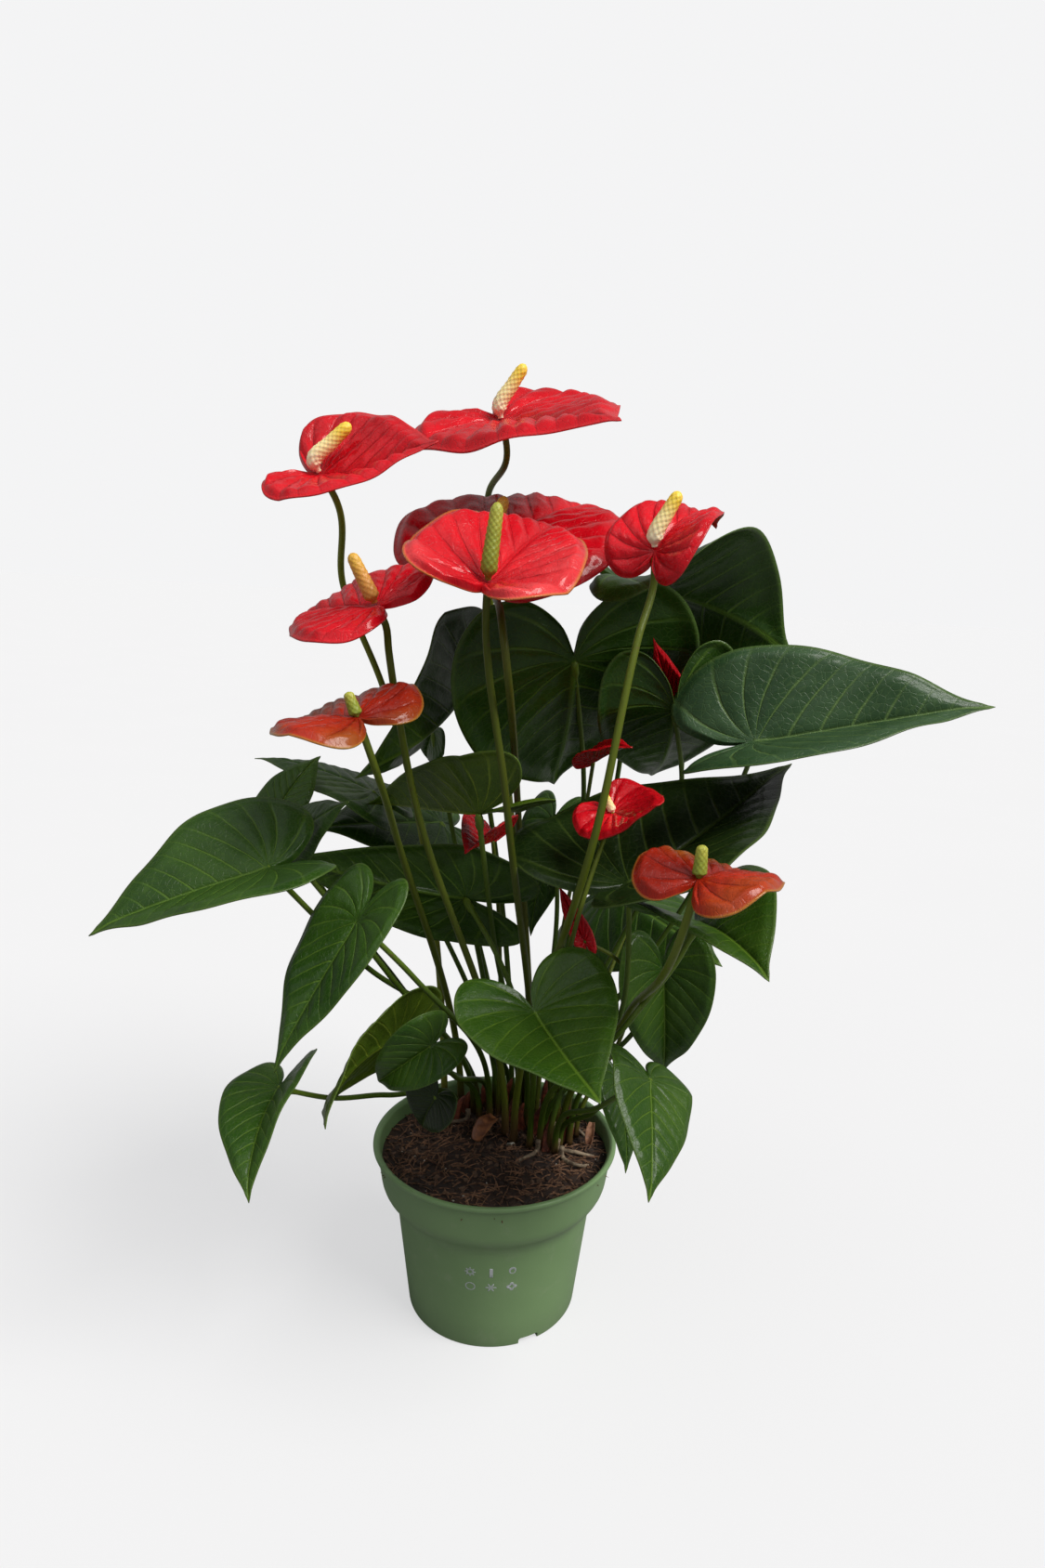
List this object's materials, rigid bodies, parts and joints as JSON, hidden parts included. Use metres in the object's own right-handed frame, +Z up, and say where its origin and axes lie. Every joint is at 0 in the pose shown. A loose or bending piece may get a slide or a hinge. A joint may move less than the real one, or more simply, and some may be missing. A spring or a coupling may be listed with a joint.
{
  "type": "potted anthurium",
  "caption": "Flowering anthurium in a plain tapered nursery pot: glossy red heart-shaped spathes with spadices over long-stalked heart-shaped leaves.",
  "frame": {"origin": "centre of the pot's underside, on the surface that the pot stands on", "axes": "+Z up along the pot's axis; -Y is the plant's front; +X is to the right seen from the front"},
  "size_m": [0.4772, 0.3906, 0.6054],
  "materials": {
    "pot": "satin",
    "mix": "matte",
    "leaf": "satin",
    "stem": "satin",
    "spathe_red": "gloss",
    "spathe_orange": "gloss",
    "spadix_yellow": "satin",
    "spadix_green": "satin",
    "dried": "matte",
    "label": "matte"
  },
  "bodies": {
    "root": {"pot": "pot", "potting_mix": "mix", "leaf_far_right": "leaf", "leaf_upper_right": "leaf", "leaf_upper_back": "leaf", "leaf_back_right": "leaf", "leaf_right_broad": "leaf", "leaf_right_small": "leaf", "leaf_right_inner": "leaf", "leaf_right_hanging": "leaf", "leaf_low_right": "leaf", "leaf_low_right_behind": "leaf", "leaf_front": "leaf", "leaf_middle_upper": "leaf", "leaf_left_broad": "leaf", "leaf_far_left": "leaf", "leaf_left_boat": "leaf", "leaf_left_back": "leaf", "leaf_back_broad": "leaf", "leaf_upper_left": "leaf", "leaf_back_round": "leaf", "leaf_centre_hanging": "leaf", "leaf_left_narrow": "leaf", "leaf_low_left": "leaf", "leaf_low_left_behind": "leaf", "leaf_left_drooping": "leaf", "leaf_near_mix": "leaf", "leaf_left_upright": "leaf", "stem_top_left": "stem", "spathe_top_left": "spathe_red", "spadix_top_left": "spadix_yellow", "stem_top": "stem", "spathe_top": "spathe_red", "spadix_top": "spadix_yellow", "stem_left": "stem", "spathe_left": "spathe_red", "spadix_left": "spadix_yellow", "stem_centre": "stem", "spathe_centre": "spathe_red", "spadix_centre": "spadix_green", "stem_centre_back": "stem", "spathe_centre_back": "spathe_red", "spadix_centre_back": "spadix_yellow", "stem_right": "stem", "spathe_right": "spathe_red", "spadix_right": "spadix_yellow", "stem_low_left": "stem", "spathe_low_left": "spathe_orange", "spadix_low_left": "spadix_green", "stem_low_right": "stem", "spathe_low_right": "spathe_orange", "spadix_low_right": "spadix_green", "small_flower_centre": "spathe_red", "bud_right": "spathe_red", "small_flower_back": "spathe_red", "small_flower_left": "spathe_red", "bud_back": "spathe_red", "dried_leaf": "dried", "dried_sheath": "dried", "label_strip": "label"}
  },
  "joints": []
}
